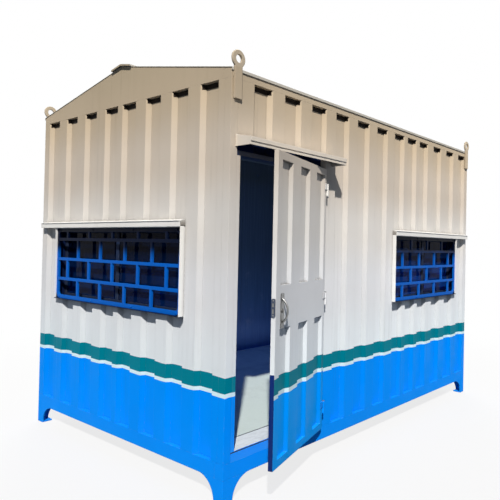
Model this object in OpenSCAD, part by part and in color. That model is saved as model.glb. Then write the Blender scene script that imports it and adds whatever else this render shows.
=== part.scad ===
// Site office container: a gable-roofed steel cabin on four short corner feet.
// Millimetres, +Z up. The front long wall, with the door, faces -Y.
// Plan positions below are measured from the outer front-left corner of the walls, heights from the ground.

/* [Cabin] */
// Length of the long walls
length = 3658; // [3300:1:5000]
// Width of the gable ends
width = 2438; // [2340:1:3000]
// Height of the feet under the base frame
foot_h = 150; // [100:1:200]
// Height of the base rails
base_h = 98; // [80:1:160]
// Height of the floor above the base rails
floor_up = 62; // [40:1:100]
// Height of the wall sheets, from base rail to eave rail
wall_h = 2412; // [2300:1:2800]
// Height of the eave rails
rail_h = 60; // [40:1:100]
// Rise of the roof from eave to ridge
roof_rise = 235; // [150:1:400]
// Thickness of a wall, from outer land to inner lining
wall_t = 80; // [60:1:120]
// Side of the square corner posts
post = 60; // [50:1:60]

/* [Wall sheets] */
// Thickness of the pressed sheet
sheet_t = 2; // [1:0.5:4]
// Distance between neighbouring flutes
flute_pitch = 303; // [260:1:400]
// Distance between the two flutes beside a lap of two sheets
lap_pitch = 240; // [230:1:300]
// Width of a flute at its mouth
flute_mouth = 178; // [120:1:200]
// Depth of a flute
flute_depth = 32; // [15:1:40]
// Width of a flute's sloping side, seen square to the wall
flute_run = 28; // [10:1:40]
// Centre of the first flute on a long wall
long_first = 292; // [200:1:320]
// Centre of the first flute on a gable end
end_first = 207; // [170:1:260]
// Thickness of the inner lining boards
lining_t = 12; // [6:1:20]
// Open joint between lining boards
board_gap = 3; // [2:0.5:6]
// Number of lining boards on the rear wall
rear_boards = 3; // [2:1:5]
// Number of lining boards on the right wall
end_boards = 2; // [1:1:4]

/* [Base and floor] */
// Thickness of the base rail's web and flanges
base_t = 8; // [5:1:12]
// Number of floor bearers
bearers = 5; // [3:1:8]
// Width of a floor bearer
bearer_w = 60; // [40:1:90]
// Thickness of the floor deck
deck_t = 20; // [12:1:30]
// Width of a foot at the ground
foot_w = 84; // [70:1:110]
// Thickness of a foot's curved plates
foot_t = 12; // [8:1:20]
// Thickness of a foot's sole plate
sole_t = 12; // [8:1:20]

/* [Roof] */
// Thickness of the roof sheet
roof_t = 3; // [2:0.5:6]
// Reach of the roof past the eave rails and gables
roof_over = 4; // [2:1:14]
// Depth of the drip edge along the eaves
drip_h = 16; // [8:1:30]
// Thickness of the gable plates
gable_t = 6; // [4:1:12]
// Half width of the ridge cap
cap_half = 125; // [80:1:200]
// Height of the ridge cap above the roof sheet
cap_lift = 16; // [12:1:60]
// Clearance under the feet of the ridge cap
cap_gap = 0.1; // [0.05:0.05:0.5]
// Reach of the ridge cap past the gables
cap_over = 20; // [15:1:80]
// Distance between the pressed ribs of the roof
rib_pitch = 305; // [200:1:400]
// Width of a roof rib at its foot
rib_w = 60; // [40:1:90]
// Width of a roof rib at its top
rib_top = 30; // [10:1:38]
// Height of a roof rib
rib_h = 16; // [8:1:25]
// Thickness of the ceiling board
ceiling_t = 12; // [6:1:20]

/* [Lifting eyes] */
// Thickness of an eye plate
eye_t = 16; // [8:1:20]
// Outside diameter of an eye
eye_d = 112; // [90:1:130]
// Hole of an eye
eye_hole = 54; // [30:1:60]
// Height of the eye's centre above the eave
eye_lift = 62; // [58:1:80]
// Chamfer round the eye's rim
eye_chamfer = 3.5; // [1:0.5:7]
// Width of an eye's strap
strap_w = 62; // [40:1:80]
// Length of the strap below the eave
strap_l = 190; // [120:1:260]
// Centre of the strap from the corner
strap_in = 46; // [42:1:60]

/* [Door] */
// Left side of the doorway
door_x = 90; // [85:1:120]
// Width of the doorway
door_w = 841; // [820:1:950]
// Height of the doorway above the floor
door_h = 1870; // [1820:1:1900]
// Width of the door frame's section
door_frame_w = 30; // [25:1:34]
// Thickness of the sill plate and its apron
sill_t = 4; // [3:1:8]
// Depth of the sill plate, from the wall's outer face
sill_in = 170; // [130:1:240]
// Thickness of the door leaf
leaf_t = 30; // [25:1:50]
// Overlap of the leaf on the door frame
leaf_lap = 13; // [8:1:20]
// Gap between leaf and wall when closed
leaf_clear = 8.5; // [5.5:0.5:10]
// How far the leaf reaches below the floor
leaf_drop = 54; // [40:1:80]
// How far the door stands ajar, in degrees
ajar = 17.5; // [0:0.5:40]
// Depth of a flute in the leaf
leaf_flute_d = 22; // [10:1:28]
// Width of a leaf flute at its mouth
leaf_flute_w = 165; // [120:1:180]
// Number of flutes across the leaf
leaf_flutes = 3; // [1:1:3]
// Distance between the leaf's flutes
leaf_pitch = 300; // [240:1:310]
// First flute's centre from the latch edge of the leaf
leaf_first = 145; // [120:1:150]
// Plain border above the upper flutes and below the lower ones
leaf_border = 50; // [30:1:90]
// Height of the plain band between upper and lower flutes
leaf_band = 270; // [220:1:340]
// Centre of the plain band above the leaf's foot
leaf_band_z = 980; // [900:1:1060]

/* [Hinges and handle] */
// Diameter of the hinge pins
pin_d = 12; // [8:1:14]
// Running clearance of a pin in its knuckle
pin_clear = 0.05; // [0.02:0.01:0.1]
// Outside diameter of a hinge barrel
barrel_d = 24; // [18:1:26]
// Length of one hinge knuckle
knuckle_l = 45; // [35:1:60]
// Gap between the two knuckles of a hinge
knuckle_gap = 0.4; // [0.2:0.1:1]
// Length of the hinge straps on the leaf
hinge_strap = 38; // [30:1:90]
// Length of the hinge plates on the wall
wall_strap = 70; // [45:1:90]
// Thickness of the hinge straps
strap_t = 5; // [3:1:8]
// Gap from the leaf's edge to the hinge axis
leaf_gap = 14; // [13:1:16]
// Height of the upper and lower hinges from the leaf's ends
hinge_in = 155; // [120:1:300]
// Pull handle's centre from the latch edge of the leaf
pull_in = 92; // [80:1:150]
// Distance of the handle's middle below the plain band's middle
pull_down = 24; // [0:1:30]
// Width of the handle's back plate
plate_w = 44; // [36:1:60]
// Height of the handle's back plate
plate_h = 216; // [180:1:220]
// Thickness of the handle's back plate
plate_t = 5; // [3:1:8]
// Reach of the bow grip from the leaf
pull_reach = 46; // [40:1:60]
// Radius of the bow grip
bow_r = 96; // [80:1:110]
// Diameter of the grip's bar
pull_d = 13; // [10:1:16]
// Corner radius of the handle's and the lock's plates
plate_round = 8; // [2:0.5:8]
// Diameter of the lock cylinder's rose
rose_d = 26; // [20:1:34]
// Reach of the lock cylinder's rose from the leaf
rose_h = 10; // [7:1:16]
// Height of the lock plate on the leaf's latch edge
lock_h = 112; // [80:1:140]
// Width of the lock plate
lock_w = 26; // [16:1:30]
// Reach of the lock plate past the leaf's edge
lock_t = 6; // [3:1:8]

/* [Rain hood] */
// Reach of the rain hood past the left side of the doorway
hood_x = 46; // [40:1:70]
// Length of the rain hood past the right side of the doorway
hood_l = 134; // [60:1:190]
// Reach of the rain hood from the wall
hood_reach = 140; // [100:1:170]
// Gap from the doorway's head to the hood's lip
hood_up = 52; // [40:1:70]
// Height of the hood's front lip
hood_lip = 50; // [30:1:70]
// Fall of the hood from wall to lip
hood_fall = 26; // [10:1:60]
// Depth of the turned-down front edge of the hood's top
hood_drop = 28; // [8:1:29]
// Thickness of the hood's sheet
hood_t = 3; // [2:0.5:5]
// Nose of the top sheets of hood and window strips past their lips
nose = 5; // [4:1:12]

/* [Windows] */
// Distance of the front window from the right corner
front_win_x = 324; // [200:1:640]
// Width of the front window
front_win_w = 1320; // [1000:1:1600]
// Distance of the left window's middle behind the middle of its wall
left_win_y = 61; // [-40:1:115]
// Width of the left window
left_win_w = 1704; // [1400:1:2000]
// Height of the window sills above the floor
win_up = 815; // [700:1:1000]
// Height of the windows
win_h = 602; // [500:1:800]
// Thickness of the window surrounds
surround_t = 4; // [3:0.5:8]
// Reach of the surrounds from the wall
surround_reach = 35; // [25:1:38]
// Height of the rain strip over a window
strip_h = 52; // [35:1:80]
// Fall of the rain strip's top sheet
strip_fall = 10; // [4:1:20]
// Reach of the rain strip from the wall
strip_reach = 46; // [40:1:60]
// Distance of the rain strips' ends from the far corners
strip_end = 55; // [0:1:120]
// Width of the grille's frame
grille_frame = 30; // [16:1:40]
// Inner corner radius of the grille's frame
grille_round = 28; // [10:1:50]
// Width of a grille bar
bar_w = 24; // [10:1:30]
// Thickness of the grille, front to back
bar_t = 16; // [8:1:20]
// Distance of the grille behind the surround's front edge
grille_back = 18; // [10:1:24]
// Aimed length of a cell of the grille
cell_l = 330; // [250:1:360]
// Height of a row of cells in the front grille, from its foot
front_row = 152; // [110:1:200]
// Height of a row of cells in the left grille, from its foot
left_row = 167; // [110:1:200]
// Width of a sash's frame
sash_w = 38; // [25:1:50]
// Thickness of one sash
sash_t = 18; // [14:1:20]
// Gap between the two sashes
sash_gap = 3; // [2:0.5:6]
// Thickness of the glass
glass_t = 5; // [3:1:8]
// Distance of the sashes behind the wall's outer face
sash_back = 34; // [30:1:40]

/* [Hidden] */
$fn = 48;

// Colours as painted
cream = [0.86, 0.84, 0.79];
blue = [0.05, 0.50, 0.93];
grille_blue = [0.06, 0.38, 0.80];
navy = [0.07, 0.11, 0.21];
pale_floor = [0.84, 0.85, 0.82];
grey_metal = [0.62, 0.63, 0.64];
glass_tint = [0.20, 0.26, 0.32, 0.6];

// Heights of the main levels
base_top = foot_h + base_h;
floor_z = base_top + floor_up;
rail_z = base_top + wall_h;
eave_z = rail_z + rail_h;
ridge_z = eave_z + roof_rise;
head_z = floor_z + door_h;
win_z = floor_z + win_up;
slope = roof_rise / (width / 2);
slope_deg = atan(slope);
overlap = 1;

// Hinge line of the door and size of its leaf
leaf_w = door_w + 2 * leaf_lap;
leaf_z = floor_z - leaf_drop;
leaf_h = head_z + leaf_lap - leaf_z;
hinge_x = door_x + door_w + leaf_lap + leaf_gap;
hinge_y = -(leaf_clear + leaf_t);
hinge_heights = [leaf_z + hinge_in, leaf_z + leaf_h / 2, leaf_z + leaf_h - hinge_in];
pull_r = leaf_gap + leaf_w - pull_in;
band_z = leaf_z + leaf_band_z;

// The origin is the middle of the whole cabin's plan box, with the door as it stands
pull_front = hinge_y - pull_r * sin(ajar) - (pull_reach - pull_d / 2) * cos(ajar) - pull_d / 2;
leaf_front = hinge_y - (leaf_gap + leaf_w) * sin(ajar);
front_reach = min(pull_front, leaf_front, -hood_reach);
rear_reach = width + max(eye_t, roof_over + roof_t);
middle_y = (front_reach + rear_reach) / 2;
end_reach = max(cap_over, eye_d / 2 - strap_in, roof_over);
left_reach = -max(end_reach, strip_reach, surround_reach);
middle_x = (left_reach + length + end_reach) / 2;

// Flutes: the sheets lap after the flutes whose numbers are listed
long_laps = [6, 7];
end_laps = [3];
function laps_before(i, laps) = len([for (lap = laps) if (lap < i) lap]);
function flute_at(i, first, laps) =
    first + i * flute_pitch - laps_before(i, laps) * (flute_pitch - lap_pitch);
function flutes(span, first, laps) = [
    for (i = [0 : floor(span / lap_pitch)])
        let (centre = flute_at(i, first, laps))
            if (centre + flute_mouth / 2 < span - post) centre
];
function flute_points(mouth, depth, run) =
    [[-mouth / 2, 0], [run - mouth / 2, depth], [mouth / 2 - run, depth], [mouth / 2, 0]];
function sheet_line(span, centres, back) = concat(
    [[post, back]],
    [for (centre = centres) for (p = flute_points(flute_mouth, flute_depth, flute_run)) p + [centre, back]],
    [[span - post, back]]
);
function turned(points) = [for (i = [len(points) - 1 : -1 : 0]) points[i]];
long_flutes = flutes(length, long_first, long_laps);
end_flutes = flutes(width, end_first, end_laps);

// Ends of the stretches that a long wall and the left wall are cut into
door_left = door_x - door_frame_w;
door_right = door_x + door_w + door_frame_w;
door_top = head_z + door_frame_w;
front_win_end = length - front_win_x;
front_win_start = front_win_end - front_win_w;
left_win_start = (width - left_win_w) / 2 + left_win_y;
left_win_end = left_win_start + left_win_w;
win_top = win_z + win_h;

// Placing helpers
module placed() translate([-middle_x, -middle_y, 0]) children();
// A gable end is drawn as a front wall would be, and turned to the left side
module on_left() mirror([1, -1, 0]) children();
module on_right() translate([length, 0, 0]) mirror([1, 0, 0]) on_left() children();
module on_rear() translate([0, width, 0]) mirror([0, 1, 0]) children();
module both_long() {
    children();
    on_rear() children();
}
module both_ends() {
    children();
    translate([length, 0, 0]) mirror([1, 0, 0]) children();
}
module four_corners() both_ends() both_long() children();
// Turns a drawing of depth against height into a bar along the wall
module along_wall(start, run) translate([start, 0, 0]) rotate([90, 0, 90]) linear_extrude(run) children();
module on_hinge() translate([hinge_x, hinge_y, 0]) rotate([0, 0, ajar]) children();
// A rectangle with round corners, from its lower left corner
module rounded(wide, tall, radius) {
    translate([radius, 0]) square([wide - 2 * radius, tall]);
    translate([0, radius]) square([wide, tall - 2 * radius]);
    for (x = [radius, wide - radius], y = [radius, tall - radius]) translate([x, y]) circle(radius);
}

// Base frame and floor
module channel() {
    difference() {
        translate([0, foot_h]) square([wall_t, base_h]);
        translate([base_t, foot_h + base_t]) square([wall_t, base_h - 2 * base_t]);
    }
}

// The long rails close the corners with their end plates
module base_rails_long() color(blue) placed() both_long() {
    along_wall(0, length) channel();
    both_ends() translate([0, 0, foot_h]) cube([base_t, wall_t, base_h]);
}

module base_rails_end() color(blue) placed() both_ends() on_left()
    along_wall(wall_t, width - 2 * wall_t) channel();

// The bearers' ends reach into the base rails, under their upper flanges
module floor_bearers() {
    bay = (length - 2 * wall_t) / (bearers + 1);
    foot = foot_h + base_t;
    color(blue) placed()
        for (i = [1 : bearers]) translate([wall_t + i * bay - bearer_w / 2, 0, foot]) {
            translate([0, base_t, 0]) cube([bearer_w, width - 2 * base_t, base_h - 2 * base_t]);
            translate([0, wall_t, 0]) cube([bearer_w, width - 2 * wall_t, floor_z - deck_t - foot]);
        }
}

module floor_deck() color(pale_floor) placed()
    translate([wall_t, wall_t, floor_z - deck_t])
        cube([length - 2 * wall_t, width - 2 * wall_t, deck_t]);

// One side of a foot: a plate whose inner edge sweeps out in a quarter round
module foot_outline() {
    difference() {
        square([foot_w + foot_h, foot_h]);
        translate([foot_w + foot_h, 0]) circle(foot_h);
    }
}

module foot() {
    translate([0, foot_t, 0]) rotate([90, 0, 0]) linear_extrude(foot_t) foot_outline();
    on_left() translate([0, foot_t, 0]) rotate([90, 0, 0]) linear_extrude(foot_t) foot_outline();
    cube([foot_w, foot_w, sole_t]);
}

module corner_feet() color(blue) placed() four_corners() foot();

// Wall frame
module corner_posts() color(cream) placed() four_corners()
    translate([0, 0, base_top]) cube([post, post, wall_h]);

module eave_rails() color(cream) placed() both_long()
    translate([0, 0, rail_z]) cube([length, wall_t, rail_h]);

module gable() {
    translate([0, wall_t, rail_z]) cube([wall_t, width - 2 * wall_t, rail_h]);
    rotate([90, 0, 90]) linear_extrude(gable_t)
        polygon([[0, eave_z], [width, eave_z], [width / 2, ridge_z]]);
}

module left_gable() color(cream) placed() gable();

module right_gable() color(cream) placed() translate([length, 0, 0]) mirror([1, 0, 0]) gable();

module eye_section() {
    rim = eye_d / 2;
    in = rim - eye_chamfer;
    polygon([[0, 0], [in, 0], [rim, eye_chamfer], [rim, eye_t - eye_chamfer], [in, eye_t], [0, eye_t]]);
}

module lifting_eye() {
    translate([strap_in, 0, eave_z]) rotate([90, 0, 0]) difference() {
        union() {
            translate([-strap_w / 2, -strap_l, 0]) cube([strap_w, strap_l + eye_lift, eye_t]);
            translate([0, eye_lift, 0]) rotate_extrude() eye_section();
        }
        translate([0, eye_lift, -overlap]) cylinder(d = eye_hole, h = eye_t + 2 * overlap);
    }
}

module lifting_eyes() color(cream) placed() four_corners() lifting_eye();

// Fluted wall sheets: a stretch of the wall's section, from one height to another
module sheet(span, centres, from, to, low, high) {
    intersection() {
        translate([0, 0, low]) linear_extrude(high - low)
            polygon(concat(sheet_line(span, centres, 0), turned(sheet_line(span, centres, sheet_t))));
        translate([from, -overlap, low - overlap]) cube([to - from, wall_t, high - low + 2 * overlap]);
    }
}

module long_sheet(from, to, low, high) color(cream) placed()
    sheet(length, long_flutes, from, to, low, high);

module left_sheet(from, to, low, high) color(cream) placed() on_left()
    sheet(width, end_flutes, from, to, low, high);

module front_sheet_over_door() long_sheet(post, door_right, door_top, rail_z);
module front_sheet_middle() long_sheet(door_right, front_win_start, base_top, rail_z);
module front_sheet_over_window() long_sheet(front_win_start, front_win_end, win_top, rail_z);
module front_sheet_under_window() long_sheet(front_win_start, front_win_end, base_top, win_z);
module front_sheet_end() long_sheet(front_win_end, length - post, base_top, rail_z);

module left_sheet_front() left_sheet(post, left_win_start, base_top, rail_z);
module left_sheet_over_window() left_sheet(left_win_start, left_win_end, win_top, rail_z);
module left_sheet_under_window() left_sheet(left_win_start, left_win_end, base_top, win_z);
module left_sheet_rear() left_sheet(left_win_end, width - post, base_top, rail_z);

module rear_sheet() color(cream) placed() on_rear()
    sheet(length, long_flutes, post, length - post, base_top, rail_z);

module right_sheet() color(cream) placed() on_right()
    sheet(width, end_flutes, post, width - post, base_top, rail_z);

// Inner lining boards, with an open joint at each side of a board
module board(from, to, low, high) {
    translate([from + board_gap / 2, wall_t - lining_t, low])
        cube([to - from - board_gap, lining_t, high - low]);
}

module front_lining() color(navy) placed() {
    board(wall_t, door_right, door_top, rail_z);
    board(door_right, front_win_start, base_top, rail_z);
    board(front_win_start, front_win_end, win_top, rail_z);
    board(front_win_start, front_win_end, base_top, win_z);
    board(front_win_end, length - wall_t, base_top, rail_z);
}

module left_lining() color(navy) placed() on_left() {
    board(wall_t, left_win_start, base_top, rail_z);
    board(left_win_start, left_win_end, win_top, rail_z);
    board(left_win_start, left_win_end, base_top, win_z);
    board(left_win_end, width - wall_t, base_top, rail_z);
}

// A wall without openings is lined with equal boards
module boards(span, count) {
    run = (span - 2 * wall_t) / count;
    for (i = [0 : count - 1]) board(wall_t + i * run, wall_t + (i + 1) * run, base_top, rail_z);
}

module rear_lining() color(navy) placed() on_rear() boards(length, rear_boards);

module right_lining() color(navy) placed() on_right() boards(width, end_boards);

module ceiling() color(navy) placed()
    translate([wall_t, wall_t, rail_z]) cube([length - 2 * wall_t, width - 2 * wall_t, ceiling_t]);

// Roof: a folded sheet on each side of the ridge, with pressed ribs
function roof_at(y) = eave_z + y * slope;

module roof_section() {
    rise = roof_t / cos(slope_deg);
    polygon([
        [width / 2, ridge_z], [width / 2, ridge_z + rise],
        [-roof_over - roof_t, roof_at(-roof_over - roof_t) + rise],
        [-roof_over - roof_t, roof_at(-roof_over) - drip_h],
        [-roof_over, roof_at(-roof_over) - drip_h], [-roof_over, roof_at(-roof_over)]
    ]);
}

module roof_rib(x) {
    run = (width / 2 - cap_half - rib_w) / cos(slope_deg) - rib_w;
    translate([x, rib_w, roof_at(rib_w)]) rotate([slope_deg, 0, 0]) rotate([-90, 0, 0]) linear_extrude(run)
        polygon([
            [-rib_w / 2, -roof_t / 2], [-rib_top / 2, -roof_t - rib_h],
            [rib_top / 2, -roof_t - rib_h], [rib_w / 2, -roof_t / 2]
        ]);
}

module roof_side() {
    ribs = floor((length - 2 * rib_w) / rib_pitch);
    first = (length - (ribs - 1) * rib_pitch) / 2;
    difference() {
        union() {
            along_wall(-roof_over, length + 2 * roof_over) roof_section();
            for (i = [0 : ribs - 1]) roof_rib(first + i * rib_pitch);
        }
        both_ends() translate([strap_in - strap_w / 2 - overlap, -eye_t - overlap, eave_z - strap_l])
            cube([strap_w + 2 * overlap, eye_t + overlap, strap_l + eye_d]);
    }
}

module roof_front() color(cream) placed() roof_side();

module roof_rear() color(cream) placed() on_rear() roof_side();

// Ridge cap: a shallow hat of folded sheet, open at its ends
module ridge_cap() {
    top = ridge_z + cap_lift;
    edge = top - cap_half * slope;
    foot = ridge_z - cap_half * slope + roof_t / cos(slope_deg) + cap_gap;
    in = cap_half - roof_t;
    foot_in = foot + roof_t * slope;
    color(cream) placed() translate([0, width / 2, 0]) along_wall(-cap_over, length + 2 * cap_over)
        polygon([
            [-cap_half, foot], [-cap_half, edge], [0, top], [cap_half, edge], [cap_half, foot],
            [in, foot_in], [in, edge - roof_t], [0, top - roof_t], [-in, edge - roof_t], [-in, foot_in]
        ]);
}

// Door frame: jambs and head, and a sill plate that laps the floor, with an apron below it
module door_frame() {
    across = door_right - door_left;
    color(cream) placed() {
        translate([door_left, 0, base_top]) cube([door_frame_w, wall_t, door_top - base_top]);
        translate([door_x + door_w, 0, base_top]) cube([door_frame_w, wall_t, door_top - base_top]);
        translate([door_left, 0, head_z]) cube([across, wall_t, door_frame_w]);
        translate([door_left, 0, floor_z]) cube([across, wall_t, sill_t]);
        translate([door_x, 0, floor_z]) cube([door_w, sill_in, sill_t]);
        translate([door_left, 0, base_top]) cube([across, sill_t, floor_up]);
    }
}

// Rain hood over the door: a sloping top turned down over a front lip, with closed ends
module rain_hood() {
    lip_z = head_z + hood_up;
    top_z = lip_z + hood_lip;
    wall_z = top_z + hood_fall;
    lip_y = hood_reach - nose;
    start = door_x - hood_x;
    run = hood_x + door_w + hood_l;
    color(cream) placed() {
        along_wall(start, run) polygon([
            [0, wall_z], [-hood_reach, top_z], [-hood_reach, top_z - hood_drop],
            [-lip_y, top_z - hood_drop], [-lip_y, lip_z], [hood_t - lip_y, lip_z],
            [hood_t - lip_y, top_z - hood_t], [0, wall_z - hood_t]
        ]);
        for (x = [start, start + run - hood_t])
            along_wall(x, hood_t)
                polygon([[0, wall_z], [-lip_y, top_z], [-lip_y, lip_z], [0, lip_z]]);
    }
}

// Windows, drawn from the near lower corner of the surround; the rain strip runs on towards the far corner
module surround(run, strip_run) {
    difference() {
        translate([0, -surround_reach, 0]) cube([run, surround_reach + wall_t, win_h]);
        translate([surround_t, -surround_reach - overlap, surround_t])
            cube([run - 2 * surround_t, surround_reach + wall_t + 2 * overlap, win_h - 2 * surround_t]);
    }
    lip_y = strip_reach - nose;
    lip_h = strip_h - strip_fall;
    translate([0, 0, win_h]) along_wall(0, strip_run)
        polygon([
            [0, 0], [-lip_y, 0], [-lip_y, lip_h - surround_t], [-strip_reach, lip_h - surround_t],
            [-strip_reach, lip_h], [0, strip_h], [0, strip_h - surround_t],
            [surround_t - lip_y, lip_h - surround_t], [surround_t - lip_y, surround_t], [0, surround_t]
        ]);
}

// The top row of cells takes what height is left
module grille(run, row, half_first) {
    inner = run - 2 * surround_t;
    tall = win_h - 2 * surround_t;
    cells = round(inner / cell_l);
    step = inner / cells;
    rows = round(tall / row);
    translate([surround_t, grille_back - surround_reach + bar_t, surround_t]) rotate([90, 0, 0])
        linear_extrude(bar_t) {
            difference() {
                rounded(inner, tall, grille_round + grille_frame);
                translate([grille_frame, grille_frame])
                    rounded(inner - 2 * grille_frame, tall - 2 * grille_frame, grille_round);
            }
            for (i = [1 : rows - 1])
                translate([0, i * row - bar_w / 2]) square([inner, bar_w]);
            for (i = [0 : rows - 1], j = [0 : cells])
                let (
                    half = (i + half_first) % 2 == 0 ? 0 : 0.5,
                    x = (j + half) * step,
                    high = i == rows - 1 ? tall - i * row : row
                )
                    if (x > grille_frame && x < inner - grille_frame)
                        translate([x - bar_w / 2, i * row]) square([bar_w, high]);
        }
}

module sash(x, y, run) {
    tall = win_h - 2 * surround_t;
    translate([x, y, surround_t]) difference() {
        cube([run, sash_t, tall]);
        translate([sash_w, -overlap, sash_w])
            cube([run - 2 * sash_w, sash_t + 2 * overlap, tall - 2 * sash_w]);
    }
}

module sashes(run) {
    half = (run - 2 * surround_t + sash_w) / 2;
    sash(surround_t, sash_back, half);
    sash(run - surround_t - half, sash_back + sash_t + sash_gap, half);
}

module panes(run) {
    half = (run - 2 * surround_t + sash_w) / 2;
    tall = win_h - 2 * surround_t;
    for (side = [[surround_t, sash_back], [run - surround_t - half, sash_back + sash_t + sash_gap]])
        translate([side[0] + sash_w, side[1] + (sash_t - glass_t) / 2, surround_t + sash_w])
            cube([half - 2 * sash_w, glass_t, tall - 2 * sash_w]);
}

module at_front_window() placed() translate([front_win_start, 0, win_z]) children();
module at_left_window() placed() on_left() translate([left_win_start, 0, win_z]) children();

module front_window_surround() color(cream) at_front_window()
    surround(front_win_w, length - strip_end - front_win_start);
module front_window_grille() color(grille_blue) at_front_window() grille(front_win_w, front_row, 1);
module front_window_sashes() color(grey_metal) at_front_window() sashes(front_win_w);
module front_window_glass() color(glass_tint) at_front_window() panes(front_win_w);

module left_window_surround() color(cream) at_left_window()
    surround(left_win_w, width - strip_end - left_win_start);
module left_window_grille() color(grille_blue) at_left_window() grille(left_win_w, left_row, 0);
module left_window_sashes() color(grey_metal) at_left_window() sashes(left_win_w);
module left_window_glass() color(glass_tint) at_left_window() panes(left_win_w);

// Hinges: the lower knuckle and pin stand off a plate on frame and wall, the upper knuckle hangs on the leaf
module hinge_brackets() color(grey_metal) placed() translate([hinge_x, hinge_y, 0])
    for (z = hinge_heights) translate([0, 0, z]) {
        translate([0, 0, -knuckle_l]) cylinder(d = barrel_d, h = knuckle_l);
        cylinder(d = pin_d, h = knuckle_l);
        translate([-strap_t / 2, 0, -knuckle_l]) cube([strap_t, -hinge_y, knuckle_l]);
        translate([-strap_t / 2, -hinge_y - strap_t, -knuckle_l]) cube([wall_strap, strap_t, knuckle_l]);
    }

module leaf_hinges() color(grey_metal) placed() on_hinge()
    for (z = hinge_heights) translate([0, 0, z + knuckle_gap]) {
        difference() {
            union() {
                cylinder(d = barrel_d, h = knuckle_l);
                translate([-leaf_gap - hinge_strap, -strap_t, 0])
                    cube([leaf_gap + hinge_strap, strap_t, knuckle_l]);
            }
            translate([0, 0, -overlap]) cylinder(d = pin_d + 2 * pin_clear, h = knuckle_l + 2 * overlap);
        }
    }

// Door leaf, drawn closed on its hinge line with its outer face forward
module leaf_flute(centre, low, high) {
    translate([centre, 0, low]) linear_extrude(high - low)
        polygon(concat(
            flute_points(leaf_flute_w, leaf_flute_d, leaf_flute_d),
            [[leaf_flute_w / 2, -overlap], [-leaf_flute_w / 2, -overlap]]
        ));
}

module door_leaf() {
    latch_x = -leaf_gap - leaf_w;
    color(cream) placed() on_hinge() difference() {
        translate([latch_x, 0, leaf_z]) cube([leaf_w, leaf_t, leaf_h]);
        for (i = [0 : leaf_flutes - 1]) {
            centre = latch_x + leaf_first + i * leaf_pitch;
            leaf_flute(centre, leaf_z + leaf_border, band_z - leaf_band / 2);
            leaf_flute(centre, band_z + leaf_band / 2, leaf_z + leaf_h - leaf_border);
        }
    }
}

// Handle: a bow grip and a lock cylinder on a long back plate, which faces forward when the door is shut
module bow_grip() {
    centre = bow_r - pull_reach + pull_d / 2;
    half = acos(centre / bow_r);
    translate([0, centre, 0]) rotate([90, 0, 90]) rotate([0, 0, 180 - half])
        rotate_extrude(angle = 2 * half) translate([bow_r, 0]) circle(d = pull_d);
}

module pull_handle() color(grey_metal) placed() on_hinge() translate([-pull_r, 0, band_z - pull_down])
    difference() {
        union() {
            rotate([90, 0, 0]) linear_extrude(plate_t)
                translate([-plate_w / 2, -plate_h / 2]) rounded(plate_w, plate_h, plate_round);
            bow_grip();
            rotate([90, 0, 0]) cylinder(d = rose_d, h = rose_h);
        }
        translate([-plate_w, 0, -plate_h]) cube([2 * plate_w, leaf_t, 2 * plate_h]);
    }

// Lock plate on the latch edge of the leaf
module door_lock() color(grey_metal) placed() on_hinge()
    translate([0, (leaf_t - lock_w) / 2, band_z - lock_h / 2])
        along_wall(-leaf_gap - leaf_w - lock_t, lock_t) rounded(lock_w, lock_h, plate_round);

base_rails_long();
base_rails_end();
floor_bearers();
floor_deck();
corner_feet();
corner_posts();
eave_rails();
left_gable();
right_gable();
lifting_eyes();
front_sheet_over_door();
front_sheet_middle();
front_sheet_over_window();
front_sheet_under_window();
front_sheet_end();
left_sheet_front();
left_sheet_over_window();
left_sheet_under_window();
left_sheet_rear();
rear_sheet();
right_sheet();
front_lining();
left_lining();
rear_lining();
right_lining();
ceiling();
roof_front();
roof_rear();
ridge_cap();
door_frame();
rain_hood();
front_window_surround();
front_window_grille();
front_window_sashes();
front_window_glass();
left_window_surround();
left_window_grille();
left_window_sashes();
left_window_glass();
hinge_brackets();
door_leaf();
leaf_hinges();
pull_handle();
door_lock();
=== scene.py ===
"""Looks of the site office container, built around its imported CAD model."""

import math
from collections import namedtuple

import bpy
from mathutils import Matrix, Vector


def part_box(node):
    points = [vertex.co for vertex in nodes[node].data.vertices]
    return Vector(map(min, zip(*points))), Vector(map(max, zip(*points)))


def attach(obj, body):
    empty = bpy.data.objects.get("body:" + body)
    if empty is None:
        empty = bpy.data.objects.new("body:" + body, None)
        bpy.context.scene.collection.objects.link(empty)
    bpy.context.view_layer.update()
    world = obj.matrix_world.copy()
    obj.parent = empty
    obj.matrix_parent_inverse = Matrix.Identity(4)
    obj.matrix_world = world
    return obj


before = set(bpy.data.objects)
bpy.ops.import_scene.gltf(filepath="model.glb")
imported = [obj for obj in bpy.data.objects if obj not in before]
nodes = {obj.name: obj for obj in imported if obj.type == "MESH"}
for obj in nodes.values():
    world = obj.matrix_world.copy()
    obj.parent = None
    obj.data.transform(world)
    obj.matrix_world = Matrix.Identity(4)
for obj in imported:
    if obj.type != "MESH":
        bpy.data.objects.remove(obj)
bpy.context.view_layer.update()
scene = bpy.context.scene
scene.view_settings.view_transform = "Standard"

# The outer front-left corner of the walls at ground level, from which plan positions are measured
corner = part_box("corner_posts")[0]
ORIGIN = Vector((corner.x, corner.y, 0.0))

# Sizes repeated from the drawing, in metres: walls, roof and lifting eyes
LENGTH, WIDTH = 3.658, 2.438
FLOOR_Z, RAIL_Z, EAVE_Z, RIDGE_Z = 0.310, 2.660, 2.720, 2.955
SLOPE = (RIDGE_Z - EAVE_Z) / (WIDTH / 2)
SLOPE_ANGLE = math.atan(SLOPE)
ROOF_T, RIB_H, RIB_PITCH, RIBS = 0.003, 0.016, 0.305, 11
CAP_HALF, CAP_LIFT, CAP_OVER, CAP_GAP = 0.125, 0.016, 0.020, 0.0001
STRAP_IN, STRAP_W, STRAP_PROUD = 0.046, 0.062, 0.0015

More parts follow.
